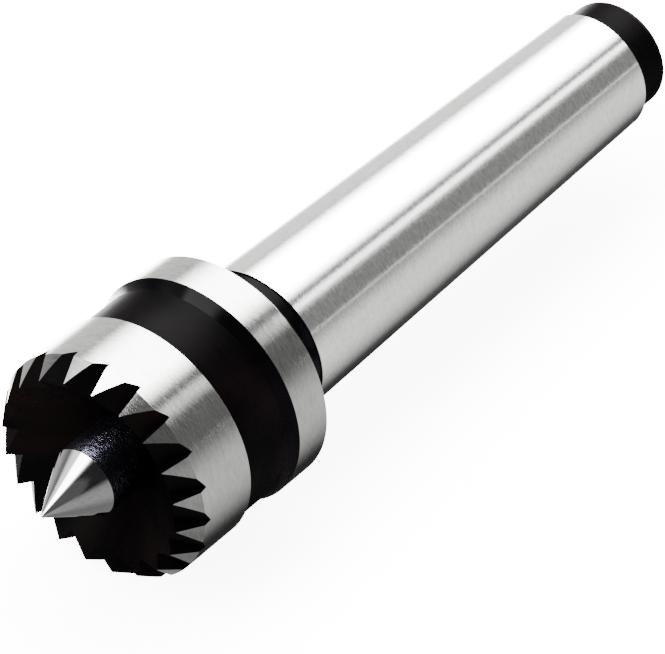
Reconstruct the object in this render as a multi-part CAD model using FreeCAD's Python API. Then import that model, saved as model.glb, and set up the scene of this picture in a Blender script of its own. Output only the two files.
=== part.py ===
"""Revolving crown centre on a Morse no. 2 shank, written as one STEP file per piece.

Frame: millimetres, +X along the axis from the point towards the tail, +Z up, the origin on the axis at the
taper's gauge plane. Every turned piece is given by its outline in (x, r), x along the axis and r from it.
"""
import FreeCAD, Part
import math
import os

from FreeCAD import Vector

AXIS = Vector(1, 0, 0)
ORIGIN = Vector(0, 0, 0)

# Morse no. 2 shank
GAUGE_R = 17.780 / 2
TAPER_PER_MM = 1 / 20.020 / 2
TAPER_END_X = 61.3
TAPER_CHAMFER = 0.4
TAIL_R = 6.6
TAIL_END_X = 66.3
TAIL_ROUND = 1.2
CENTRE_DRILL_R = 1.25
CENTRE_DRILL_DEPTH = 5.0
CENTRE_DRILL_MOUTH_R = 2.7
CENTRE_HALF_ANGLE = math.radians(30)

# Housing in front of the taper
RELIEF_R = 8.7
RELIEF_END_X = 0.3
FLANGE_R = 13.55
FLANGE_FRONT_X = -9.5
FLANGE_REAR_X = -4.6
FLANGE_CHAMFER = 0.35
NECK_R = 12.9
NECK_FRONT_X = -17.0
NECK_REAR_X = -10.9

# Crown: a dished face with a bevelled rim, and V-shaped gaps that leave saw teeth across the rim
CROWN_R = 13.43
CROWN_REAR_X = -17.3
CROWN_EDGE = 0.1
BEVEL_REAR_X = -24.75
RIM_X = -27.25
RIM_R = 11.7
DISH_APEX_X = -18.4
TOOTH_COUNT = 20
TOOTH_PHASE_DEG = 4.3
TOOTH_LAND_DEG = 0.4
STEEP_FACE_DEG = 2.1
GAP_OUTER_X = -23.87
GAP_INNER_X = -26.2
GAP_INNER_R = 10.35

# Centre point, sliding in the spindle against its spring
POINT_R = 4.0
POINT_CONE_BASE_X = -27.95
POINT_TIP_R = 0.18
POINT_REAR_X = -13.2
POINT_EDGE = 0.3
POINT_TRAVEL = 4.5
SLIDE_CLEARANCE = 0.03
SPIGOT_R = 2.0
SPIGOT_LENGTH = 4.0

# Screw that holds the point in, and the slot that it rides in
SCREW_X = -19.95
SCREW_ANGLE_DEG = -54.0
SCREW_R = 1.5
SCREW_HEAD_R = 12.8
SCREW_THREAD_END_R = 4.5
DOG_R = 1.0
DOG_END_R = 3.0
SCREW_SOCKET_R = 0.87
SCREW_SOCKET_DEPTH = 1.5
SLOT_BOTTOM_R = 2.8
SLOT_CLEARANCE = 0.02

# Spindle
JOURNAL_R = 6.0
COLLAR_R = 7.0
REAR_JOURNAL_R = 5.0
JOURNAL_STEP_X = -5.8
SPINDLE_END_X = 15.6
POINT_BORE_END_X = -8.5
CHAMBER_R = 3.4
CHAMBER_END_X = 13.0
SPINDLE_EDGE = 0.3

# Spring
SPRING_WIRE_R = 0.4
SPRING_R = 2.8
SPRING_COILS = 13

# Bearings: a 12 x 21 x 5 radial ball bearing, a 12 x 21 x 5 thrust bearing, a 10 x 14 x 10 needle bearing
POCKET_R = 10.5
BEARING_WIDTH = 5.0
BALL_R = 2.381 / 2
BALL_PITCH_R = (POCKET_R + JOURNAL_R) / 2
BALL_COUNT = 13
ROLLING_CLEARANCE = 0.02
CAGE_POCKET_R = BALL_R + 0.04
RADIAL_CAGE_HALF_WIDTH = 1.5
RADIAL_CAGE_HALF_HEIGHT = 0.5
THRUST_CAGE_HALF_WIDTH = 0.45
THRUST_CAGE_HALF_HEIGHT = 1.7
RADIAL_FRONT_X = -16.1
SHIM = 0.2
SHIM_R = 7.4
INNER_RING_R = 7.4
OUTER_RING_BORE_R = 9.1
SHIELD_THICKNESS = 0.2
SHIELD_INSET = 0.1
SHIELD_GAP = 0.2
THRUST_WASHER = 1.45
THRUST_SHAFT_WASHER_R = 10.3
THRUST_HOUSING_BORE_R = 6.3
NEEDLE_R = 0.75
NEEDLE_COUNT = 14
NEEDLE_LENGTH = 7.8
NEEDLE_CUP_R = 7.0
NEEDLE_CUP_LENGTH = 10.0
NEEDLE_CUP_REAR_X = 14.2
NEEDLE_CUP_LIP = 0.5
NEEDLE_LIP_R = 5.3
NEEDLE_CAGE_GAP = 0.1
NEEDLE_CAGE_INNER_R = 5.42
NEEDLE_CAGE_OUTER_R = 6.22
SPINDLE_CLEARANCE_BORE_R = 5.6
SHANK_BORE_END_X = 17.0

# Rings and the seal
SNAP_WIRE_R = 0.4
SNAP_X = -16.55
SNAP_OPENING_DEG = 34
CIRCLIP_GROOVE_R = 4.7
CIRCLIP_R = 6.75
CIRCLIP_WIDTH = 0.8
CIRCLIP_OPENING = 5.4
SEAL_INNER_R = 7.3
SEAL_OUTER_R = 10.7
SEAL_FRONT_X = -18.2
SEAL_REAR_X = -17.05

# Places that follow from the dimensions above
RADIAL_REAR_X = RADIAL_FRONT_X + BEARING_WIDTH
THRUST_FRONT_X = RADIAL_REAR_X + SHIM
THRUST_REAR_X = THRUST_FRONT_X + BEARING_WIDTH
RADIAL_BALL_X = (RADIAL_FRONT_X + RADIAL_REAR_X) / 2
THRUST_BALL_X = (THRUST_FRONT_X + THRUST_REAR_X) / 2
NEEDLE_PITCH_R = REAR_JOURNAL_R + ROLLING_CLEARANCE + NEEDLE_R
NEEDLE_TRACK_R = NEEDLE_PITCH_R + NEEDLE_R + ROLLING_CLEARANCE
NEEDLE_MID_X = NEEDLE_CUP_REAR_X - NEEDLE_CUP_LENGTH / 2


def polar(x, r, angle_deg):
    """The point at x along the axis and r from it, at an angle from +Y towards +Z."""
    angle = math.radians(angle_deg)
    return Vector(x, r * math.cos(angle), r * math.sin(angle))


def turned(outline):
    """The solid made by turning a closed outline of (x, r) corners about the axis."""
    corners = [Vector(x, r, 0) for x, r in outline]
    face = Part.Face(Part.makePolygon(corners + corners[:1]))
    return face.revolve(ORIGIN, AXIS, 360)


def rod(x0, x1, r):
    """A plain cylinder on the axis."""
    return Part.makeCylinder(r, x1 - x0, Vector(x0, 0, 0), AXIS)


def ring(x0, x1, inner_r, outer_r):
    """A plain ring on the axis."""
    return turned([(x0, inner_r), (x0, outer_r), (x1, outer_r), (x1, inner_r)])


def around(shape, count):
    """Copies of a shape, evenly spaced about the axis."""
    copies = []
    for index in range(count):
        copy = shape.copy()
        copy.rotate(ORIGIN, AXIS, 360 * index / count)
        copies.append(copy)
    return copies


def ball_groove(x, clearance=ROLLING_CLEARANCE):
    """The ring-shaped track that clears the balls at x."""
    return Part.makeTorus(BALL_PITCH_R, BALL_R + clearance, Vector(x, 0, 0), AXIS)


def ball_set(x):
    """One row of bearing balls."""
    ball = Part.makeSphere(BALL_R, Vector(x, 0, BALL_PITCH_R))
    return Part.makeCompound(around(ball, BALL_COUNT))


def ball_cage(x, half_width, inner_r, outer_r, pocket):
    """A ring with a copy of the pocket cut out for each ball."""
    cage = ring(x - half_width, x + half_width, inner_r, outer_r)
    return cage.cut(around(pocket, BALL_COUNT))


def front_bearing_cage():
    """Cage of the radial bearing, a band between the rings with round pockets through it."""
    pocket_start = Vector(RADIAL_BALL_X, 0, JOURNAL_R)
    pocket = Part.makeCylinder(CAGE_POCKET_R, POCKET_R - JOURNAL_R, pocket_start, Vector(0, 0, 1))
    return ball_cage(RADIAL_BALL_X, RADIAL_CAGE_HALF_WIDTH, BALL_PITCH_R - RADIAL_CAGE_HALF_HEIGHT,
                     BALL_PITCH_R + RADIAL_CAGE_HALF_HEIGHT, pocket)


def thrust_cage():
    """Cage of the thrust bearing, a flat washer with round pockets through it."""
    pocket_start = Vector(THRUST_BALL_X - BEARING_WIDTH / 2, 0, BALL_PITCH_R)
    pocket = Part.makeCylinder(CAGE_POCKET_R, BEARING_WIDTH, pocket_start, AXIS)
    return ball_cage(THRUST_BALL_X, THRUST_CAGE_HALF_WIDTH, BALL_PITCH_R - THRUST_CAGE_HALF_HEIGHT,
                     BALL_PITCH_R + THRUST_CAGE_HALF_HEIGHT, pocket)


def screw_cylinder(r, start_r, end_r):
    """A cylinder on the retaining screw's radial line, between two distances from the axis."""
    start = polar(SCREW_X, start_r, SCREW_ANGLE_DEG)
    outward = polar(0, 1, SCREW_ANGLE_DEG)
    return Part.makeCylinder(r, end_r - start_r, start, outward)


def taper_r(x):
    """The shank's radius at x behind the gauge plane."""
    return GAUGE_R - x * TAPER_PER_MM


def shank_body():
    """Morse shank, flange and neck in one piece, bored from the front for the bearings."""
    outline = [
        (NECK_FRONT_X, 0),
        (NECK_FRONT_X, NECK_R),
        (NECK_REAR_X, NECK_R),
        (FLANGE_FRONT_X, FLANGE_R),
        (FLANGE_REAR_X - FLANGE_CHAMFER, FLANGE_R),
        (FLANGE_REAR_X, FLANGE_R - FLANGE_CHAMFER),
        (FLANGE_REAR_X, RELIEF_R),
        (RELIEF_END_X, RELIEF_R),
        (RELIEF_END_X, taper_r(RELIEF_END_X)),
        (TAPER_END_X - TAPER_CHAMFER, taper_r(TAPER_END_X - TAPER_CHAMFER)),
        (TAPER_END_X, taper_r(TAPER_END_X) - TAPER_CHAMFER),
        (TAPER_END_X, TAIL_R),
        (TAIL_END_X, TAIL_R),
        (TAIL_END_X, 0),
    ]
    body = turned(outline)
    tail_edges = [e for e in body.Edges if e.Length > 1 and abs(e.BoundBox.XMin - TAIL_END_X) < 0.01
                  and abs(e.BoundBox.XMax - TAIL_END_X) < 0.01]
    body = body.makeFillet(TAIL_ROUND, tail_edges)

    pocket = rod(NECK_FRONT_X, THRUST_REAR_X, POCKET_R)
    needle_bore = rod(THRUST_REAR_X, NEEDLE_CUP_REAR_X, NEEDLE_CUP_R)
    spindle_bore = rod(NEEDLE_CUP_REAR_X, SHANK_BORE_END_X, SPINDLE_CLEARANCE_BORE_R)
    snap_groove = Part.makeTorus(POCKET_R, SNAP_WIRE_R, Vector(SNAP_X, 0, 0), AXIS)
    mouth_depth = (CENTRE_DRILL_MOUTH_R - CENTRE_DRILL_R) / math.tan(CENTRE_HALF_ANGLE)
    centre_drill = turned([
        (TAIL_END_X, 0),
        (TAIL_END_X, CENTRE_DRILL_MOUTH_R),
        (TAIL_END_X - mouth_depth, CENTRE_DRILL_R),
        (TAIL_END_X - CENTRE_DRILL_DEPTH, CENTRE_DRILL_R),
        (TAIL_END_X - CENTRE_DRILL_DEPTH - CENTRE_DRILL_R, 0),
    ])
    return body.cut([pocket, needle_bore, spindle_bore, snap_groove, centre_drill])


def dish_x(r):
    """Where the crown's dished face is, at a distance r from the axis."""
    return DISH_APEX_X + (RIM_X - DISH_APEX_X) * r / RIM_R


def tooth_gap(tip_deg):
    """The two wedges in front of one gap's long face and steep face, between the tips of two teeth."""
    next_tip_deg = tip_deg + 360 / TOOTH_COUNT
    root_deg = next_tip_deg - STEEP_FACE_DEG
    outer_end = polar(GAP_OUTER_X, CROWN_R, root_deg)
    inwards = polar(GAP_INNER_X, GAP_INNER_R, root_deg) - outer_end
    wedges = []
    for edge_deg in (tip_deg + TOOTH_LAND_DEG / 2, next_tip_deg - TOOTH_LAND_DEG / 2):
        tip = polar(RIM_X, RIM_R, edge_deg)
        face = Part.Face(Part.makePolygon([
            outer_end - inwards,
            outer_end + inwards * 2,
            tip + inwards * 2,
            tip - inwards,
            outer_end - inwards,
        ]))
        wedges.append(face.extrude(Vector(-CROWN_R, 0, 0)))
    return wedges


def crown():
    """Dished head with a ring of saw teeth round its rim, pressed on the spindle's nose."""
    body = turned([
        (dish_x(JOURNAL_R), JOURNAL_R),
        (RIM_X, RIM_R),
        (BEVEL_REAR_X, CROWN_R),
        (CROWN_REAR_X - CROWN_EDGE, CROWN_R),
        (CROWN_REAR_X, CROWN_R - CROWN_EDGE),
        (CROWN_REAR_X, SEAL_OUTER_R),
        (SEAL_FRONT_X, SEAL_OUTER_R),
        (SEAL_FRONT_X, SEAL_INNER_R),
        (CROWN_REAR_X, SEAL_INNER_R),
        (CROWN_REAR_X, JOURNAL_R),
    ])
    for index in range(TOOTH_COUNT):
        body = body.cut(tooth_gap(TOOTH_PHASE_DEG + index * 360 / TOOTH_COUNT))
    return body.cut(screw_cylinder(SCREW_R, JOURNAL_R / 2, 2 * CROWN_R))


def spindle():
    """Hollow shaft that carries the crown and ends flush in its dish, bored for the point and the spring."""
    bore_r = POINT_R + SLIDE_CLEARANCE
    body = turned([
        (dish_x(bore_r), 0),
        (dish_x(bore_r), bore_r),
        (dish_x(JOURNAL_R), JOURNAL_R),
        (CROWN_REAR_X, JOURNAL_R),
        (CROWN_REAR_X, COLLAR_R),
        (RADIAL_FRONT_X, COLLAR_R),
        (RADIAL_FRONT_X, JOURNAL_R),
        (JOURNAL_STEP_X, JOURNAL_R),
        (JOURNAL_STEP_X, CIRCLIP_GROOVE_R),
        (JOURNAL_STEP_X + CIRCLIP_WIDTH, CIRCLIP_GROOVE_R),
        (JOURNAL_STEP_X + CIRCLIP_WIDTH, REAR_JOURNAL_R),
        (SPINDLE_END_X - SPINDLE_EDGE, REAR_JOURNAL_R),
        (SPINDLE_END_X, REAR_JOURNAL_R - SPINDLE_EDGE),
        (SPINDLE_END_X, 0),
    ])
    point_bore = rod(dish_x(JOURNAL_R), POINT_BORE_END_X, bore_r)
    chamber = rod(POINT_BORE_END_X, CHAMBER_END_X, CHAMBER_R)
    return body.cut([point_bore, chamber, screw_cylinder(SCREW_R, POINT_R / 2, COLLAR_R)])


def point_slot():
    """The slot that lets the point slide past the retaining screw's dog."""
    r = DOG_R + SLOT_CLEARANCE
    rear_end = screw_cylinder(r, SLOT_BOTTOM_R, COLLAR_R)
    front_end = rear_end.copy()
    front_end.translate(Vector(-POINT_TRAVEL, 0, 0))
    middle = Part.makeBox(POINT_TRAVEL, COLLAR_R - SLOT_BOTTOM_R, 2 * r,
                          Vector(SCREW_X - POINT_TRAVEL, SLOT_BOTTOM_R, -r))
    middle.rotate(ORIGIN, AXIS, SCREW_ANGLE_DEG)
    return rear_end.fuse([middle, front_end])


def center_point():
    """60 degree point with a cylindrical body, a slot for the screw and a spigot inside the spring."""
    cone_length = (POINT_R - POINT_TIP_R) / math.tan(CENTRE_HALF_ANGLE)
    tip_x = POINT_CONE_BASE_X - cone_length
    body = turned([
        (tip_x, 0),
        (tip_x, POINT_TIP_R),
        (POINT_CONE_BASE_X, POINT_R),
        (POINT_REAR_X - POINT_EDGE, POINT_R),
        (POINT_REAR_X, POINT_R - POINT_EDGE),
        (POINT_REAR_X, SPIGOT_R),
        (POINT_REAR_X + SPIGOT_LENGTH, SPIGOT_R),
        (POINT_REAR_X + SPIGOT_LENGTH, 0),
    ])
    return body.cut(point_slot())


def point_spring():
    """Compression spring from the back of the point to the bottom of the spindle's chamber."""
    start_x = POINT_REAR_X + SPRING_WIRE_R
    length = CHAMBER_END_X - SPRING_WIRE_R - start_x
    path = Part.Wire(Part.makeHelix(length / SPRING_COILS, length, SPRING_R))
    section = Part.Wire(Part.makeCircle(SPRING_WIRE_R, Vector(SPRING_R, 0, 0), Vector(0, 1, 0)))
    coil = path.makePipeShell([section], True, True)
    coil.rotate(ORIGIN, Vector(0, 1, 0), 90)
    coil.translate(Vector(start_x, 0, 0))
    return coil


def point_screw():
    """Dog-point set screw with a hexagon socket, through the crown and the spindle into the slot."""
    thread = screw_cylinder(SCREW_R, SCREW_THREAD_END_R, SCREW_HEAD_R)
    dog = screw_cylinder(DOG_R, DOG_END_R, SCREW_THREAD_END_R)
    corners = [Vector(SCREW_SOCKET_R * math.cos(math.radians(60 * i)), 0,
                      SCREW_SOCKET_R * math.sin(math.radians(60 * i))) for i in range(7)]
    socket = Part.Face(Part.makePolygon(corners)).extrude(Vector(0, SCREW_SOCKET_DEPTH, 0))
    socket.translate(Vector(SCREW_X, SCREW_HEAD_R - SCREW_SOCKET_DEPTH, 0))
    socket.rotate(ORIGIN, AXIS, SCREW_ANGLE_DEG)
    return thread.fuse(dog).cut(socket)


def front_bearing_outer_ring():
    """Grooved outer ring of the radial bearing, pressed in the housing."""
    return ring(RADIAL_FRONT_X, RADIAL_REAR_X, OUTER_RING_BORE_R, POCKET_R).cut(ball_groove(RADIAL_BALL_X))


def front_bearing_inner_ring():
    """Grooved inner ring of the radial bearing, pressed on the spindle."""
    return ring(RADIAL_FRONT_X, RADIAL_REAR_X, JOURNAL_R, INNER_RING_R).cut(ball_groove(RADIAL_BALL_X))


def front_bearing_shields():
    """Two thin shields held in the outer ring, one at each side."""
    shields = []
    for x in (RADIAL_FRONT_X + SHIELD_INSET, RADIAL_REAR_X - SHIELD_INSET - SHIELD_THICKNESS):
        shields.append(ring(x, x + SHIELD_THICKNESS, INNER_RING_R + SHIELD_GAP, OUTER_RING_BORE_R))
    return Part.makeCompound(shields)


def thrust_shaft_washer():
    """Rotating washer of the thrust bearing, on the spindle."""
    washer = ring(THRUST_FRONT_X, THRUST_FRONT_X + THRUST_WASHER, JOURNAL_R, THRUST_SHAFT_WASHER_R)
    return washer.cut(ball_groove(THRUST_BALL_X))


def thrust_housing_washer():
    """Fixed washer of the thrust bearing, on the shoulder of the housing's pocket."""
    washer = ring(THRUST_REAR_X - THRUST_WASHER, THRUST_REAR_X, THRUST_HOUSING_BORE_R, POCKET_R)
    return washer.cut(ball_groove(THRUST_BALL_X))


def needle_at(r):
    """A cylinder of radius r on the first needle's axis."""
    start = Vector(NEEDLE_MID_X - NEEDLE_LENGTH / 2, 0, NEEDLE_PITCH_R)
    return Part.makeCylinder(r, NEEDLE_LENGTH, start, AXIS)


def rear_needles():
    """The needle rollers that run on the spindle's rear journal."""
    return Part.makeCompound(around(needle_at(NEEDLE_R), NEEDLE_COUNT))


def rear_needle_cage():
    """The sleeve that keeps the needles apart."""
    half_length = NEEDLE_CUP_LENGTH / 2 - NEEDLE_CUP_LIP - NEEDLE_CAGE_GAP
    sleeve = ring(NEEDLE_MID_X - half_length, NEEDLE_MID_X + half_length,
                  NEEDLE_CAGE_INNER_R, NEEDLE_CAGE_OUTER_R)
    return sleeve.cut(around(needle_at(NEEDLE_R + ROLLING_CLEARANCE), NEEDLE_COUNT))


def rear_needle_cup():
    """Drawn outer cup of the needle bearing, with a lip turned in at each end."""
    front_x = NEEDLE_CUP_REAR_X - NEEDLE_CUP_LENGTH
    return turned([
        (front_x, NEEDLE_LIP_R),
        (front_x, NEEDLE_CUP_R),
        (NEEDLE_CUP_REAR_X, NEEDLE_CUP_R),
        (NEEDLE_CUP_REAR_X, NEEDLE_LIP_R),
        (NEEDLE_CUP_REAR_X - NEEDLE_CUP_LIP, NEEDLE_LIP_R),
        (NEEDLE_CUP_REAR_X - NEEDLE_CUP_LIP, NEEDLE_TRACK_R),
        (front_x + NEEDLE_CUP_LIP, NEEDLE_TRACK_R),
        (front_x + NEEDLE_CUP_LIP, NEEDLE_LIP_R),
    ])


def bearing_snap_ring():
    """Round-wire ring, open at the bottom, in the pocket's groove in front of the radial bearing."""
    start = polar(SNAP_X, POCKET_R, SNAP_OPENING_DEG / 2 - 90)
    tangent = polar(0, 1, SNAP_OPENING_DEG / 2)
    section = Part.Face(Part.Wire(Part.makeCircle(SNAP_WIRE_R, start, tangent)))
    return section.revolve(ORIGIN, AXIS, 360 - SNAP_OPENING_DEG)


def spindle_circlip():
    """Flat open ring in the spindle's groove, behind the thrust bearing."""
    clip = ring(JOURNAL_STEP_X, JOURNAL_STEP_X + CIRCLIP_WIDTH, CIRCLIP_GROOVE_R, CIRCLIP_R)
    opening = Part.makeBox(CIRCLIP_WIDTH, CIRCLIP_OPENING, CIRCLIP_R,
                           Vector(JOURNAL_STEP_X, -CIRCLIP_OPENING / 2, -CIRCLIP_R))
    return clip.cut(opening)


PIECES = {
    "shank_body": shank_body,
    "crown": crown,
    "spindle": spindle,
    "center_point": center_point,
    "point_spring": point_spring,
    "point_screw": point_screw,
    "front_bearing_outer_ring": front_bearing_outer_ring,
    "front_bearing_inner_ring": front_bearing_inner_ring,
    "front_bearing_balls": lambda: ball_set(RADIAL_BALL_X),
    "front_bearing_cage": front_bearing_cage,
    "front_bearing_shields": front_bearing_shields,
    "shim_washer": lambda: ring(RADIAL_REAR_X, THRUST_FRONT_X, JOURNAL_R, SHIM_R),
    "thrust_shaft_washer": thrust_shaft_washer,
    "thrust_balls": lambda: ball_set(THRUST_BALL_X),
    "thrust_cage": thrust_cage,
    "thrust_housing_washer": thrust_housing_washer,
    "rear_needle_cup": rear_needle_cup,
    "rear_needles": rear_needles,
    "rear_needle_cage": rear_needle_cage,
    "bearing_snap_ring": bearing_snap_ring,
    "spindle_circlip": spindle_circlip,
    "dust_seal": lambda: ring(SEAL_FRONT_X, SEAL_REAR_X, SEAL_INNER_R, SEAL_OUTER_R),
}

os.makedirs("parts", exist_ok=True)
for name, make in PIECES.items():
    shape = make()
    shape.exportStep(f"parts/{name}.step")
    print(name, "solids", len(shape.Solids), "volume", round(shape.Volume, 2), "valid", shape.isValid())
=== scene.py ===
"""The looks of the revolving crown centre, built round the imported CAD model.

Metres, in the model's own frame: +X runs along the axis from the point to the tail, +Z is up, and the origin
is on the axis at the taper's gauge plane. Outlines of turned pieces are in millimetres, as (x, r).
"""

import math
from collections import namedtuple

import bmesh
import bpy
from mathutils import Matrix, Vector


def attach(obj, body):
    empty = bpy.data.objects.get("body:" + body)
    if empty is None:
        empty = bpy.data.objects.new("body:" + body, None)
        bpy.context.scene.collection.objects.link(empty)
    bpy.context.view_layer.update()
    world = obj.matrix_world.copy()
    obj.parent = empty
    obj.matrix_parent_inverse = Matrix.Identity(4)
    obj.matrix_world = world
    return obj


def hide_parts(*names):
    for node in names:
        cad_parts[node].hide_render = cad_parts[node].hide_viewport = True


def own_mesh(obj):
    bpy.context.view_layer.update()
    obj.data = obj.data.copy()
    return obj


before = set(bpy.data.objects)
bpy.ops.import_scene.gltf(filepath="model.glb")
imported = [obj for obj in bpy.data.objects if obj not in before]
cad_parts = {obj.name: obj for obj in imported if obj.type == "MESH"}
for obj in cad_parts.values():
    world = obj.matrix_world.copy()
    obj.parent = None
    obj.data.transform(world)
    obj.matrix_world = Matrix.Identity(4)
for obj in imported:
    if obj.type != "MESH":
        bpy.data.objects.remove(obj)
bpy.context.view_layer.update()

MM = 0.001
LATHE_STEPS = 360

# Places of the finishes among a piece's material slots. Only the shank has the last four.
BRIGHT = 0
BLACK = 1
GLOSSY = 2
FLANGE = 3
TAIL = 4
SHEEN = 5

# Shank, in millimetres from the gauge plane
GAUGE_R = 8.89
TAPER_PER_MM = 1 / 20.020 / 2
TAPER_END_X = 61.3
TAIL_R = 6.6
TAIL_END_X = 66.3
TAIL_ROUND = 1.2
RELIEF_R = 8.7
RELIEF_END_X = 0.3
FLANGE_R = 13.55
FLANGE_FRONT_X = -9.5
FLANGE_REAR_X = -4.6
NECK_R = 12.9
NECK_FRONT_X = -17.0
NECK_REAR_X = -10.9
SOFT_EDGE = 0.12
FLANGE_EDGE = 0.05
FLANGE_CHAMFER = 0.35
FLANGE_FILLET = 0.25
TAPER_CHAMFER = 0.4
TAIL_FILLET = 0.2
CENTRE_DRILL_R = 1.25
CENTRE_DRILL_DEPTH = 5.0
CENTRE_DRILL_CONE = 1.25
CENTRE_DRILL_MOUTH_R = 2.7
CENTRE_DRILL_MOUTH_DEPTH = 2.51

# Bores in the housing for the bearings, the spindle and the snap ring
POCKET_R = 10.5
POCKET_END_X = -5.9
NEEDLE_CUP_R = 7.0
NEEDLE_CUP_REAR_X = 14.2
SPINDLE_BORE_R = 5.6
SPINDLE_BORE_END_X = 17.0
SNAP_X = -16.55
SNAP_WIRE_R = 0.4
SNAP_GROOVE_REAR_X = -16.13

# Crown and point
CROWN_R = 13.43
CROWN_REAR_X = -17.3
CROWN_EDGE = 0.1
BEVEL_REAR_X = -24.75
RIM_X = -27.25
RIM_R = 11.7
DISH_APEX_X = -18.4
TOOTH_COUNT = 20
TOOTH_PITCH_DEG = 360 / TOOTH_COUNT
TOOTH_PHASE_DEG = 4.3
TOOTH_LAND_DEG = 0.4
STEEP_FACE_DEG = 2.1
GAP_OUTER = (-23.87, CROWN_R)
GAP_INNER = (-26.2, 10.35)
DISH_ROWS = 8
GAP_ROWS = 5
OUTSIDE_ROWS = 3
LONG_FACE_STEPS = 32
STEEP_FACE_STEPS = 6
JOURNAL_R = 6.0
SEAL_X = -18.2
SEAL_R = (7.3, 10.7)
SCREW_X = -19.95
SCREW_ANGLE_DEG = -54.0
SCREW_R = 1.5

POINT_R = 4.0
POINT_CONE_BASE_X = -27.95
POINT_TIP_R = 0.18
POINT_TIP_ROUND = 0.1
POINT_HALF_ANGLE_DEG = 30
POINT_CONE_EDGE = (0.1, 0.06)
POINT_REAR_X = -13.2
POINT_EDGE = 0.3
POINT_TRAVEL = 4.5
SPIGOT_R = 2.0
SPIGOT_LENGTH = 4.0
SLOT_BOTTOM_R = 2.8
SLOT_HALF_WIDTH = 1.02
SLOT_STEPS = 9

SPRING_END_X = 13.0
SPRING_R = 2.8
SPRING_WIRE_R = 0.4
SPRING_COILS = 13
SPRING_STEPS = 40
SPRING_SIDES = 12

# Camera: a long lens half a metre away
CAMERA_PLACE = Vector((-0.30979, -0.25351, 0.33585))
CAMERA_FORWARD = Vector((0.60439, 0.47431, -0.64011))
FOCAL_LENGTH = 267.55

SENSOR_WIDTH = 36
CLIP_END = 50

# Floor: how far it lies under the flange in millimetres, and its side in metres
FLOOR_DROP = 0.05
FLOOR_SIZE = 8.0
FLOOR_GLOW = 9.0

# Studio lights and cards, as bands round the model's axis from +Y towards +Z: where each starts and ends, how
# far it fades before and after, all in degrees, and its brightness. Faces along the axis mirror the rear
# ones, the cone and the bevel the front ones.
Light = namedtuple("Light", "start end fade_in fade_out brightness")
REAR_LIGHTS = {
    "overhead": Light(58, 90, 34, 22, 24),
    "thin_strip": Light(122, 126, 6, 10, 1.3),
    "grey_card": Light(112, 165, 12, 25, 0.2),
    "fill_card": Light(195, 210, 35, 60, 1.2),
    "low_edge_light": Light(316, 335, 18, 16, 20),
    "side_card": Light(350, 20, 10, 12, 1.5),
}
FRONT_LIGHTS = {
    "overhead": Light(58, 80, 8, 12, 24),
    "overhead_glow": Light(40, 80, 20, 20, 3),
    "room": Light(175, 20, 20, 20, 0.3),
    "fill_card": Light(190, 205, 35, 35, 0.3),
    "low_card": Light(310, 350, 35, 30, 0.6),
}
AMBIENT = 0.04
SKY_BEHIND = 14.0
REAR_STARTS_X = 0.3
REAR_FULL_X = 0.5

# Thin lights that only the taper mirrors, beyond this x of the direction
TAPER_LIGHTS = {
    "bright_edge": Light(119, 127, 1, 1, 4),
    "hairline": Light(165.5, 166.5, 0.2, 0.2, 2.5),
}
TAPER_LIGHTS_FROM_X = 0.622

# A weak card far forward, which only the bevel mirrors
FORWARD_CARD_TO_X = -0.5
FORWARD_CARD_BRIGHTNESS = 0.15


# ---------------------------------------------------------------- node helper

class Nodes:
    """A small helper for building one material's or world's node tree."""

    def __init__(self, tree):
        self.tree = tree

    def feed(self, socket, value):
        if isinstance(value, bpy.types.NodeSocket):
            self.tree.links.new(value, socket)
        else:
            socket.default_value = value

    def add(self, kind, *inputs, **settings):
        node = self.tree.nodes.new(kind)
        for name, value in settings.items():
            setattr(node, name, value)
        for index, value in enumerate(inputs):
            if value is not None:
                self.feed(node.inputs[index], value)
        return node

    def math(self, operation, *values):
        return self.add("ShaderNodeMath", *values, operation=operation).outputs[0]

    def ramp(self, factor, stops):
        """A colour ramp, given as (place, grey or colour) stops."""
        node = self.add("ShaderNodeValToRGB", factor)
        elements = node.color_ramp.elements
        while len(elements) < len(stops):
            elements.new(1.0)
        for element, (place, value) in zip(elements, stops):
            element.position = place
            element.color = (*value, 1) if hasattr(value, "__len__") else (value, value, value, 1)
        return node.outputs[0]

    def smooth_step(self, value, start, end):
        """0 up to start, 1 from end on, and an S curve between. Start may be the larger one."""
        node = self.add("ShaderNodeMapRange", value, interpolation_type="SMOOTHSTEP")
        node.inputs["From Min"].default_value = start
        node.inputs["From Max"].default_value = end
        return node.outputs[0]

    def noise(self, vector, detail=2.0, roughness=0.5):
        node = self.add("ShaderNodeTexNoise")
        self.feed(node.inputs["Vector"], vector)
        self.feed(node.inputs["Scale"], 1.0)
        self.feed(node.inputs["Detail"], detail)
        self.feed(node.inputs["Roughness"], roughness)
        return node.outputs["Fac"]

    def blend(self, factor, first, second):
        node = self.add("ShaderNodeMix", data_type="RGBA")
        self.feed(node.inputs[0], factor)
        self.feed(node.inputs[6], first)
        self.feed(node.inputs[7], second)
        return node.outputs[2]

    def bump(self, height, strength, distance):
        node = self.add("ShaderNodeBump")
        self.feed(node.inputs["Height"], height)
        node.inputs["Strength"].default_value = strength
        node.inputs["Distance"].default_value = distance
        return node.outputs["Normal"]


def new_material(name, roughness, metallic, specular=0.5):
    """A material with its Principled shader, and the helper for its nodes."""
    material = bpy.data.materials.new(name)
    material.use_nodes = True
    shader = material.node_tree.nodes["Principled BSDF"]
    shader.inputs["Roughness"].default_value = roughness
    shader.inputs["Metallic"].default_value = metallic
    shader.inputs["Specular IOR Level"].default_value = specular
    return material, Nodes(material.node_tree), shader


# ---------------------------------------------------------------- materials

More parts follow.
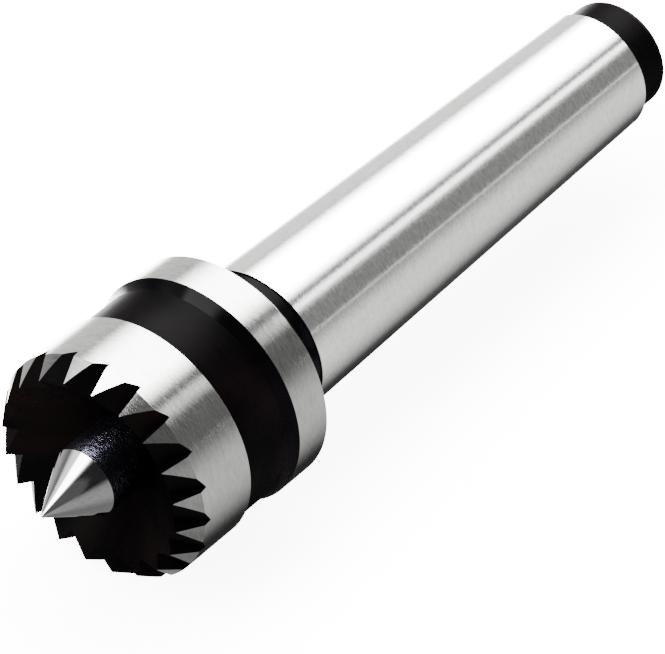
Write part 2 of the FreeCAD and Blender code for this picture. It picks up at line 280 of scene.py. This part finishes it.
def place_on_lathe(nodes, along_scale, round_scale):
    """Texture places where one unit along the axis and one unit of the circle have their own scales."""
    place = nodes.add("ShaderNodeTexCoord").outputs["Object"]
    parts = nodes.add("ShaderNodeSeparateXYZ", place)
    angle = nodes.math("ARCTAN2", parts.outputs[2], parts.outputs[1])
    return nodes.add(
        "ShaderNodeCombineXYZ",
        nodes.math("MULTIPLY", parts.outputs[0], along_scale),
        nodes.math("MULTIPLY", nodes.math("COSINE", angle), round_scale),
        nodes.math("MULTIPLY", nodes.math("SINE", angle), round_scale),
    ).outputs[0]


def ground_steel(name, colour, roughness, grain_height):
    """Steel ground on a cylindrical grinder: short fine marks round the axis, faint clouds along it."""
    material, nodes, shader = new_material(name, roughness, 1.0)
    grain = nodes.noise(place_on_lathe(nodes, 6.0 / MM, 16.0), detail=3.0, roughness=0.7)
    coarse = nodes.noise(place_on_lathe(nodes, 1.8 / MM, 8.0), detail=3.0, roughness=0.6)
    marks = nodes.math("ADD", nodes.math("MULTIPLY", grain, 0.6), nodes.math("MULTIPLY", coarse, 0.4))
    darker = tuple(0.78 * part for part in colour)
    tint = nodes.blend(nodes.ramp(marks, [(0.38, 0.0), (0.6, 1.0)]), (*darker, 1), (*colour, 1))
    nodes.feed(shader.inputs["Base Color"], tint)
    nodes.feed(shader.inputs["Roughness"],
               nodes.ramp(grain, [(0.3, 0.75 * roughness), (0.7, 1.3 * roughness)]))
    nodes.feed(shader.inputs["Normal"], nodes.bump(marks, 1.0, grain_height * MM))
    return material


def black_oxide(name, roughness, specular, base_colour, tone_and_sheen_colour):
    """Black oxide over turned steel: near black, with turning marks and faint warm and violet clouds, partly
    the oxide's own uneven tone and partly a painted sheen.
    """
    material, nodes, shader = new_material(name, roughness, 0.0, specular)
    clouds = nodes.noise(place_on_lathe(nodes, 0.12 / MM, 1.6), detail=3.0)
    marks = nodes.noise(place_on_lathe(nodes, 9.0 / MM, 3.0), detail=3.0)
    share = nodes.ramp(clouds, [(0.45, 0.0), (0.72, 1.0)])
    # The clouds paint a faint warm and violet sheen into the colour, over the oxide's own uneven tone.
    nodes.feed(shader.inputs["Base Color"],
               nodes.blend(share, (*base_colour, 1), (*tone_and_sheen_colour, 1)))
    nodes.feed(shader.inputs["Roughness"],
               nodes.ramp(marks, [(0.3, 0.85 * roughness), (0.7, 1.15 * roughness)]))
    nodes.feed(shader.inputs["Normal"], nodes.bump(marks, 0.6, 0.001 * MM))
    return material


def polished_steel(name, colour, roughness):
    """Hardened and polished steel of the bearing parts, with fine lapping marks."""
    material, nodes, shader = new_material(name, roughness, 1.0)
    marks = nodes.noise(place_on_lathe(nodes, 12.0 / MM, 6.0), detail=2.0)
    dull = tuple(0.85 * part for part in colour)
    nodes.feed(shader.inputs["Base Color"], nodes.blend(marks, (*dull, 1), (*colour, 1)))
    nodes.feed(shader.inputs["Roughness"],
               nodes.ramp(marks, [(0.2, 0.7 * roughness), (0.8, 1.4 * roughness)]))
    return material


def turned_steel(name, colour, roughness, groove_height):
    """Blued hard steel with fine turning grooves, whose flanks catch light from ahead and behind."""
    material, nodes, shader = new_material(name, roughness, 1.0)
    grooves = nodes.noise(place_on_lathe(nodes, 9.0 / MM, 6.0), detail=2.0)
    clouds = nodes.noise(place_on_lathe(nodes, 0.5 / MM, 2.0), detail=3.0)
    dull = tuple(0.6 * part for part in colour)
    nodes.feed(shader.inputs["Base Color"],
               nodes.blend(nodes.ramp(clouds, [(0.4, 0.0), (0.65, 1.0)]), (*dull, 1), (*colour, 1)))
    nodes.feed(shader.inputs["Normal"], nodes.bump(grooves, 1.0, groove_height * MM))
    return material


def felt(name):
    """Oiled felt: matt dark fibres."""
    material, nodes, shader = new_material(name, 0.95, 0.0, 0.2)
    place = nodes.add("ShaderNodeTexCoord").outputs["Object"]
    scaled = nodes.add("ShaderNodeVectorMath", place, operation="SCALE")
    scaled.inputs["Scale"].default_value = 5000
    fibres = nodes.noise(scaled.outputs[0], detail=5.0, roughness=0.7)
    nodes.feed(shader.inputs["Base Color"],
               nodes.ramp(fibres, [(0.3, (0.012, 0.010, 0.009)), (0.7, (0.05, 0.045, 0.04))]))
    nodes.feed(shader.inputs["Normal"], nodes.bump(fibres, 0.8, 0.05 * MM))
    return material


# ---------------------------------------------------------------- meshes

def link(name, mesh, materials):
    """A new object of the scene with its material slots."""
    piece = bpy.data.objects.new(name, mesh)
    for material in materials:
        mesh.materials.append(material)
    bpy.context.scene.collection.objects.link(piece)
    return piece


def smooth_but_sharp(mesh, angle_deg):
    """Smooth shading that stays sharp over edges steeper than the angle."""
    mesh.shade_smooth()
    mesh.set_sharp_from_angle(angle=math.radians(angle_deg))


def arc(centre_x, centre_r, radius, start_deg, end_deg, steps=6):
    """Points of an outline's rounded corner, in millimetres."""
    points = []
    for step in range(steps + 1):
        angle = math.radians(start_deg + (end_deg - start_deg) * step / steps)
        points.append((centre_x + radius * math.cos(angle), centre_r + radius * math.sin(angle)))
    return points


def is_tip(point):
    """Whether a point of an outline is on the axis."""
    return point[1] < 1e-6


def lathe_vertices(outline):
    """The rings of a turned body, with one vertex for a point on the axis, and where each ring starts."""
    vertices = []
    starts = []
    for x, r in outline:
        starts.append(len(vertices))
        for step in range(1 if is_tip((x, r)) else LATHE_STEPS):
            angle = 2 * math.pi * step / LATHE_STEPS
            vertices.append((x * MM, r * math.cos(angle) * MM, r * math.sin(angle) * MM))
    return vertices, starts


def band_faces(first, second, first_is_tip, second_is_tip):
    """The faces between two rings that start at these vertices."""
    if first_is_tip and second_is_tip:
        return []
    faces = []
    for step in range(LATHE_STEPS):
        after = (step + 1) % LATHE_STEPS
        if first_is_tip:
            faces.append((first, second + after, second + step))
        elif second_is_tip:
            faces.append((first + step, first + after, second))
        else:
            faces.append((first + step, first + after, second + after, second + step))
    return faces


def lathe(name, outline, finishes, materials):
    """A closed turned body: finishes[i] is the material of the band after point i of the outline."""
    vertices, starts = lathe_vertices(outline)
    faces = []
    slots = []
    for index, point in enumerate(outline):
        following = (index + 1) % len(outline)
        band = band_faces(starts[index], starts[following], is_tip(point), is_tip(outline[following]))
        faces += band
        slots += [finishes[index]] * len(band)
    mesh = bpy.data.meshes.new(name)
    mesh.from_pydata(vertices, [], faces)
    mesh.polygons.foreach_set("material_index", slots)
    mesh.validate()
    smooth_but_sharp(mesh, 28)
    return link(name, mesh, materials)


def outline_with_finishes(parts):
    """Splits ((x, r), finish) pairs, or lists of points that share a finish, into two lists."""
    outline = []
    finishes = []
    for points, finish in parts:
        for point in points if isinstance(points, list) else [points]:
            outline.append(point)
            finishes.append(finish)
    return outline, finishes


def taper_r(x):
    """The taper's radius at x."""
    return GAUGE_R - x * TAPER_PER_MM


def housing_outside():
    """Neck, flange and relief, from the front face back to the taper."""
    return [
        ((NECK_FRONT_X, POCKET_R), BLACK),
        (arc(NECK_FRONT_X + SOFT_EDGE, NECK_R - SOFT_EDGE, SOFT_EDGE, 180, 90), BLACK),
        ((NECK_REAR_X, NECK_R), GLOSSY),
        (arc(FLANGE_FRONT_X + FLANGE_EDGE, FLANGE_R - FLANGE_EDGE, FLANGE_EDGE, 120, 90, 3), FLANGE),
        ((FLANGE_REAR_X - FLANGE_CHAMFER, FLANGE_R), SHEEN),
        ((FLANGE_REAR_X, FLANGE_R - FLANGE_CHAMFER), SHEEN),
        (arc(FLANGE_REAR_X + FLANGE_FILLET, RELIEF_R + FLANGE_FILLET, FLANGE_FILLET, 180, 270, 4), SHEEN),
        ((RELIEF_END_X, RELIEF_R), BLACK),
    ]


def taper_and_tail():
    """Ground taper and tail stub, with the centre hole in the tail's end."""
    hole_bottom_x = TAIL_END_X - CENTRE_DRILL_DEPTH
    return [
        ((RELIEF_END_X, taper_r(RELIEF_END_X) - 0.03), BRIGHT),
        ((RELIEF_END_X + 0.05, taper_r(RELIEF_END_X + 0.05)), BRIGHT),
        ((TAPER_END_X - TAPER_CHAMFER, taper_r(TAPER_END_X - TAPER_CHAMFER)), BRIGHT),
        ((TAPER_END_X, taper_r(TAPER_END_X) - TAPER_CHAMFER), TAIL),
        (arc(TAPER_END_X + TAIL_FILLET, TAIL_R + TAIL_FILLET, TAIL_FILLET, 180, 270, 3), TAIL),
        (arc(TAIL_END_X - TAIL_ROUND, TAIL_R - TAIL_ROUND, TAIL_ROUND, 90, 0, 8), TAIL),
        ((TAIL_END_X, CENTRE_DRILL_MOUTH_R), BRIGHT),
        ((TAIL_END_X - CENTRE_DRILL_MOUTH_DEPTH, CENTRE_DRILL_R), BLACK),
        ((hole_bottom_x, CENTRE_DRILL_R), BLACK),
        ((hole_bottom_x - CENTRE_DRILL_CONE, 0.0), BLACK),
    ]


def housing_bores():
    """The stepped bore for the spindle and its bearings, from its blind end to the front face."""
    return [
        ((SPINDLE_BORE_END_X, 0.0), BLACK),
        ((SPINDLE_BORE_END_X, SPINDLE_BORE_R), BLACK),
        ((NEEDLE_CUP_REAR_X, SPINDLE_BORE_R), BLACK),
        ((NEEDLE_CUP_REAR_X, NEEDLE_CUP_R), BLACK),
        ((POCKET_END_X, NEEDLE_CUP_R), BLACK),
        ((POCKET_END_X, POCKET_R), BLACK),
        ((SNAP_GROOVE_REAR_X, POCKET_R), BLACK),
        (arc(SNAP_X, POCKET_R, SNAP_WIRE_R, 0, 180, 8), BLACK),
    ]


def make_shank(materials):
    """Shank, flange and neck in one piece, with softly broken edges."""
    outline, finishes = outline_with_finishes(housing_outside() + taper_and_tail() + housing_bores())
    piece = lathe("shank", outline, finishes, materials)
    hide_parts("shank_body")
    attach(piece, "housing")
    return piece


def polar(x, r, angle_deg):
    """The point at x along the axis and r from it, at an angle from +Y towards +Z, in millimetres."""
    angle = math.radians(angle_deg)
    return Vector((x, r * math.cos(angle), r * math.sin(angle)))


def gap_faces():
    """The long and the steep flat of the gap behind the tooth tip at angle 0, each as (normal, distance)."""
    root_deg = TOOTH_PITCH_DEG - STEEP_FACE_DEG
    outer = polar(*GAP_OUTER, root_deg)
    inner = polar(*GAP_INNER, root_deg)
    flats = []
    for edge_deg in (TOOTH_LAND_DEG / 2, TOOTH_PITCH_DEG - TOOTH_LAND_DEG / 2):
        tip = polar(RIM_X, RIM_R, edge_deg)
        normal = (inner - outer).cross(tip - outer)
        flats.append((normal, normal.dot(outer)))
    return flats


def gap_line(flats, angle_deg):
    """The gap's floor in the half-plane at this angle from a tip, as x = start + slope * r."""
    normal, distance = flats[0] if angle_deg < TOOTH_PITCH_DEG - STEEP_FACE_DEG else flats[1]
    across = normal.y * math.cos(math.radians(angle_deg)) + normal.z * math.sin(math.radians(angle_deg))
    return distance / normal.x, -across / normal.x


def crown_column(flats, angle_deg):
    """One column of the crown's skin at an angle from a tooth tip: dish, gap, bevel, outside, rear, bore."""
    dish_slope = (RIM_X - DISH_APEX_X) / RIM_R
    bevel_slope = (BEVEL_REAR_X - RIM_X) / (CROWN_R - RIM_R)
    inner_r, outer_r = RIM_R, RIM_R
    outer_x = RIM_X
    if TOOTH_LAND_DEG / 2 < angle_deg < TOOTH_PITCH_DEG - TOOTH_LAND_DEG / 2:
        start, slope = gap_line(flats, angle_deg)
        inner_r = (start - DISH_APEX_X) / (dish_slope - slope)
        outer_r = min(CROWN_R, (start - RIM_X + bevel_slope * RIM_R) / (bevel_slope - slope))
        outer_x = start + slope * outer_r
    inner_x = DISH_APEX_X + dish_slope * inner_r
    column = []
    for step in range(DISH_ROWS):
        r = JOURNAL_R + (inner_r - JOURNAL_R) * step / DISH_ROWS
        column.append((DISH_APEX_X + dish_slope * r, r))
    for step in range(GAP_ROWS + 1):
        share = step / GAP_ROWS
        column.append((inner_x + (outer_x - inner_x) * share, inner_r + (outer_r - inner_r) * share))
    corner_x = max(outer_x, BEVEL_REAR_X)
    return column + [
        (corner_x, CROWN_R),
        ((corner_x + CROWN_REAR_X) / 2, CROWN_R),
        (CROWN_REAR_X - CROWN_EDGE, CROWN_R),
        (CROWN_REAR_X, CROWN_R - CROWN_EDGE),
        (CROWN_REAR_X, SEAL_R[1]),
        (SEAL_X, SEAL_R[1]),
        (SEAL_X, SEAL_R[0]),
        (CROWN_REAR_X, SEAL_R[0]),
        (CROWN_REAR_X, JOURNAL_R),
    ]


def corner_angle(flat):
    """The angle at which a gap's flat meets the corner between bevel and outside."""
    normal, distance = flat
    lean = math.atan2(normal.z, normal.y)
    reach = (distance - normal.x * BEVEL_REAR_X) / (CROWN_R * math.hypot(normal.y, normal.z))
    for turn in (lean - math.acos(reach), lean + math.acos(reach)):
        angle_deg = math.degrees(turn) % 360
        if angle_deg < TOOTH_PITCH_DEG:
            return angle_deg
    raise ValueError("the gap doesn't reach the corner")


def column_angles(flats):
    """Angles from one tooth tip to the next: the land, the long face, then the steep face."""
    half_land = TOOTH_LAND_DEG / 2
    root_deg = TOOTH_PITCH_DEG - STEEP_FACE_DEG
    angles = [-half_land, 0.0]
    for step in range(LONG_FACE_STEPS):
        angles.append(half_land + (root_deg - half_land) * step / LONG_FACE_STEPS)
    for step in range(STEEP_FACE_STEPS):
        angles.append(root_deg + (STEEP_FACE_DEG - half_land) * step / STEEP_FACE_STEPS)
    angles += [corner_angle(flat) for flat in flats]
    return sorted(angles)


def make_crown(materials):
    """The toothed crown: black dish and gaps, ground bevel and outside."""
    flats = gap_faces()
    vertices = []
    columns = 0
    for tooth in range(TOOTH_COUNT):
        for angle_deg in column_angles(flats):
            column = crown_column(flats, angle_deg)
            turned_deg = TOOTH_PHASE_DEG + tooth * TOOTH_PITCH_DEG + angle_deg
            vertices += [polar(x, r, turned_deg) * MM for x, r in column]
            columns += 1
    rows = len(vertices) // columns
    first_outer_row = DISH_ROWS + GAP_ROWS
    last_outer_row = first_outer_row + OUTSIDE_ROWS
    faces = []
    slots = []
    for index in range(columns):
        here = index * rows
        there = ((index + 1) % columns) * rows
        for row in range(rows):
            below = (row + 1) % rows
            faces.append((here + row, there + row, there + below, here + below))
            slots.append(BRIGHT if first_outer_row <= row <= last_outer_row else BLACK)
    mesh = bpy.data.meshes.new("crown_head")
    mesh.from_pydata(vertices, [], faces)
    mesh.polygons.foreach_set("material_index", slots)
    mesh.validate()
    piece = link("crown_head", mesh, materials)
    clean(piece)
    drill(piece, SCREW_X, SCREW_R, JOURNAL_R - 2, CROWN_R + 2)
    smooth_but_sharp(piece.data, 20)
    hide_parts("crown")
    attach(piece, "head")
    return piece


def clean(piece):
    """Merges doubled corners and turns the faces outward."""
    edit = bmesh.new()
    edit.from_mesh(piece.data)
    bmesh.ops.remove_doubles(edit, verts=edit.verts, dist=1e-7)
    bmesh.ops.recalc_face_normals(edit, faces=edit.faces)
    edit.to_mesh(piece.data)
    edit.free()


def radial_cylinder(x, r, start_r, end_r, steps=48):
    """A cylinder along the retaining screw's line, used to cut a hole."""
    bpy.ops.mesh.primitive_cylinder_add(vertices=steps, radius=r * MM, depth=(end_r - start_r) * MM)
    cutter = bpy.context.object
    turn = math.radians(SCREW_ANGLE_DEG)
    outward = Vector((0, math.cos(turn), math.sin(turn)))
    cutter.rotation_euler = outward.to_track_quat("Z", "Y").to_euler()
    cutter.location = Vector((x * MM, 0, 0)) + outward * (start_r + end_r) / 2 * MM
    return cutter


def cut(piece, cutter):
    """Cuts the cutter out of the piece and removes the cutter."""
    modifier = piece.modifiers.new("cut", "BOOLEAN")
    modifier.operation = "DIFFERENCE"
    modifier.solver = "EXACT"
    modifier.object = cutter
    bpy.context.view_layer.update()
    depsgraph = bpy.context.evaluated_depsgraph_get()
    result = bpy.data.meshes.new_from_object(piece.evaluated_get(depsgraph), depsgraph=depsgraph)
    piece.modifiers.remove(modifier)
    piece.data = result
    bpy.data.objects.remove(cutter)


def drill(piece, x, r, start_r, end_r):
    """A radial hole on the retaining screw's line."""
    cut(piece, radial_cylinder(x, r, start_r, end_r))


def make_point(materials):
    """The centre point: ground cone with a barely blunted tip, on a darker cylindrical body."""
    cone_length = (POINT_R - POINT_TIP_R) / math.tan(math.radians(POINT_HALF_ANGLE_DEG))
    tip_x = POINT_CONE_BASE_X - cone_length
    parts = [
        ((tip_x, 0.0), BRIGHT),
        ((tip_x, 0.6 * POINT_TIP_R), BRIGHT),
        ((tip_x + POINT_TIP_ROUND, POINT_TIP_R + 0.02), BRIGHT),
        ((POINT_CONE_BASE_X - POINT_CONE_EDGE[0], POINT_R - POINT_CONE_EDGE[1]), BRIGHT),
        ((POINT_CONE_BASE_X, POINT_R), BLACK),
        ((POINT_REAR_X - POINT_EDGE, POINT_R), BLACK),
        ((POINT_REAR_X, POINT_R - POINT_EDGE), BLACK),
        ((POINT_REAR_X, SPIGOT_R), BLACK),
        ((POINT_REAR_X + SPIGOT_LENGTH, SPIGOT_R), BLACK),
        ((POINT_REAR_X + SPIGOT_LENGTH, 0.0), BLACK),
    ]
    outline, finishes = outline_with_finishes(parts)
    piece = lathe("sprung_point", outline, finishes, materials)
    clean(piece)
    for step in range(SLOT_STEPS + 1):
        x = SCREW_X - POINT_TRAVEL * step / SLOT_STEPS
        drill(piece, x, SLOT_HALF_WIDTH, SLOT_BOTTOM_R, POINT_R + 1)
    smooth_but_sharp(piece.data, 28)
    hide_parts("center_point")
    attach(piece, "point")
    return piece


def make_spring(material):
    """The point's compression spring, a wire coil, built at one fixed length."""
    front_x = POINT_REAR_X + SPRING_WIRE_R
    length = SPRING_END_X - SPRING_WIRE_R - front_x
    steps = SPRING_COILS * SPRING_STEPS
    climb = math.atan2(length / SPRING_COILS, 2 * math.pi * SPRING_R)
    vertices = []
    for step in range(steps + 1):
        turned_deg = 360 * step / SPRING_STEPS
        centre = polar(front_x + length * step / steps, SPRING_R, turned_deg)
        outward = polar(0, 1, turned_deg)
        upward = Vector((math.cos(climb), 0, 0)) - polar(0, math.sin(climb), turned_deg + 90)
        for side in range(SPRING_SIDES):
            angle = 2 * math.pi * side / SPRING_SIDES
            offset = outward * math.cos(angle) + upward * math.sin(angle)
            vertices.append((centre + offset * SPRING_WIRE_R) * MM)
    faces = []
    for step in range(steps):
        for side in range(SPRING_SIDES):
            after = (side + 1) % SPRING_SIDES
            here, there = step * SPRING_SIDES, (step + 1) * SPRING_SIDES
            faces.append((here + side, here + after, there + after, there + side))
    faces.append(tuple(range(SPRING_SIDES)))
    faces.append(tuple(range(steps * SPRING_SIDES, (steps + 1) * SPRING_SIDES)))
    mesh = bpy.data.meshes.new("coil_spring")
    mesh.from_pydata(vertices, [], faces)
    piece = link("coil_spring", mesh, [material])
    clean(piece)
    smooth_but_sharp(piece.data, 50)
    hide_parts("point_spring")
    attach(piece, "head")
    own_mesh(piece)
    return piece


# ---------------------------------------------------------------- studio

def add_camera():
    """The camera, level with the horizon, with the model's axis running up and away to the right."""
    camera = bpy.data.objects.new("camera", bpy.data.cameras.new("camera"))
    camera.data.lens = FOCAL_LENGTH
    camera.data.sensor_width = SENSOR_WIDTH
    camera.data.clip_end = CLIP_END
    camera.location = CAMERA_PLACE
    camera.rotation_euler = CAMERA_FORWARD.to_track_quat("-Z", "Y").to_euler()
    bpy.context.scene.collection.objects.link(camera)
    bpy.context.scene.camera = camera


def add_floor():
    """A plain white floor just under the flange, left out of the metal's reflections."""
    bpy.ops.mesh.primitive_plane_add(size=FLOOR_SIZE, location=(0, 0, (-FLANGE_R - FLOOR_DROP) * MM))
    floor = bpy.context.object
    floor.name = "floor"
    floor.visible_glossy = False
    material, nodes, shader = new_material("floor_white", 0.9, 0.0, 0.0)
    shader.inputs["Base Color"].default_value = (0.9, 0.9, 0.9, 1)
    shader.inputs["Emission Color"].default_value = (1, 1, 1, 1)
    shader.inputs["Emission Strength"].default_value = FLOOR_GLOW
    floor.data.materials.append(material)


def light_band(nodes, turns, light):
    """One light's brightness round the axis, faded at both ends."""
    width = (light.end - light.start) % 360
    end = light.fade_in + width
    offset = (360 - light.start + light.fade_in) / 360
    past_start = nodes.math("FRACT", nodes.math("ADD", turns, offset))
    rise = nodes.smooth_step(past_start, 0, light.fade_in / 360)
    fall = nodes.smooth_step(past_start, (end + light.fade_out) / 360, end / 360)
    return nodes.math("MULTIPLY", nodes.math("MULTIPLY", rise, fall), light.brightness)


def light_group(nodes, turns, lights):
    """The brightness of several lights together, over a little ambient light."""
    total = AMBIENT
    for light in lights.values():
        total = nodes.math("ADD", total, light_band(nodes, turns, light))
    return total


def add_sky():
    """Studio surround of soft lights and cards round the model's axis, the broad light overhead."""
    world = bpy.data.worlds.new("studio")
    world.use_nodes = True
    nodes = Nodes(world.node_tree)
    background = world.node_tree.nodes["Background"]
    direction = nodes.add("ShaderNodeTexCoord").outputs["Generated"]
    parts = nodes.add("ShaderNodeSeparateXYZ", direction)
    along = parts.outputs[0]
    angle = nodes.math("ARCTAN2", parts.outputs[2], parts.outputs[1])
    turns = nodes.math("FRACT", nodes.math("ADD", nodes.math("DIVIDE", angle, 2 * math.pi), 1.0))

    beyond = nodes.math("GREATER_THAN", along, TAPER_LIGHTS_FROM_X)
    taper = nodes.math("MULTIPLY", beyond, light_group(nodes, turns, TAPER_LIGHTS))
    rear = nodes.math("ADD", light_group(nodes, turns, REAR_LIGHTS), taper)
    forward = nodes.math("LESS_THAN", along, FORWARD_CARD_TO_X)
    card = nodes.math("MULTIPLY", forward, FORWARD_CARD_BRIGHTNESS)
    front = nodes.math("ADD", light_group(nodes, turns, FRONT_LIGHTS), card)

    is_rear = nodes.smooth_step(along, REAR_STARTS_X, REAR_FULL_X)
    surround = nodes.blend(is_rear, front, rear)
    seen_directly = nodes.add("ShaderNodeLightPath").outputs["Is Camera Ray"]
    behind = (SKY_BEHIND, SKY_BEHIND, SKY_BEHIND, 1)
    nodes.feed(background.inputs["Color"], nodes.blend(seen_directly, surround, behind))
    background.inputs["Strength"].default_value = 1.0
    bpy.context.scene.world = world


# ---------------------------------------------------------------- assembly

def finish_inner_pieces(finishes):
    """Gives every piece inside the housing its own finish."""
    for name, material in finishes.items():
        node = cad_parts[name]
        node.data.materials.clear()
        node.data.materials.append(material)


def main():
    add_camera()
    add_floor()
    add_sky()
    dark = (0.0005, 0.0004, 0.0005)
    # The crown, flange and point get darker copies of the taper's ground steel: the darkening is painted
    # shade.
    shank_ground = ground_steel("steel_ground", (0.9, 0.9, 0.88), 0.12, 0.013)
    crown_flange_steel_shaded = ground_steel("steel_ground_head_shaded", (0.47, 0.47, 0.455), 0.14, 0.014)
    point_steel_shaded = ground_steel("steel_ground_point_shaded", (0.5, 0.5, 0.5), 0.07, 0.0008)
    satin_black = black_oxide("oxide_satin", 0.35, 0.011, dark, (0.0016, 0.0009, 0.001))
    glossy_black = black_oxide("oxide_glossy", 0.1, 0.02, dark, (0.001, 0.0008, 0.001))
    dish_black = black_oxide("oxide_dish", 0.3, 0.004, dark, (0.0012, 0.0007, 0.0006))
    blued = turned_steel("steel_blued", (0.14, 0.14, 0.19), 0.26, 0.075)
    # Brighter violet clouds than the other blacks: a painted sheen on the flange's rear chamfer, face and
    # fillet.
    sheen_black = black_oxide("oxide_sheen", 0.25, 0.013, dark, (0.004, 0.003, 0.0055))
    tail_black = black_oxide("oxide_tail", 0.42, 0.006, dark, (0.0016, 0.0009, 0.001))
    make_shank([shank_ground, satin_black, glossy_black, crown_flange_steel_shaded, tail_black, sheen_black])
    make_crown([crown_flange_steel_shaded, dish_black])
    make_point([point_steel_shaded, blued])

    bearing = polished_steel("steel_bearing", (0.75, 0.75, 0.76), 0.12)
    cage = polished_steel("steel_cage", (0.55, 0.53, 0.5), 0.35)
    spring = polished_steel("steel_spring", (0.25, 0.25, 0.27), 0.3)
    make_spring(spring)
    finish_inner_pieces({
        "spindle": dish_black,
        "point_screw": satin_black,
        "front_bearing_outer_ring": bearing,
        "front_bearing_inner_ring": bearing,
        "front_bearing_balls": bearing,
        "front_bearing_cage": cage,
        "front_bearing_shields": cage,
        "shim_washer": bearing,
        "thrust_shaft_washer": bearing,
        "thrust_balls": bearing,
        "thrust_cage": cage,
        "thrust_housing_washer": bearing,
        "rear_needle_cup": bearing,
        "rear_needles": bearing,
        "rear_needle_cage": cage,
        "bearing_snap_ring": spring,
        "spindle_circlip": spring,
        "dust_seal": felt("felt_oiled"),
    })


main()
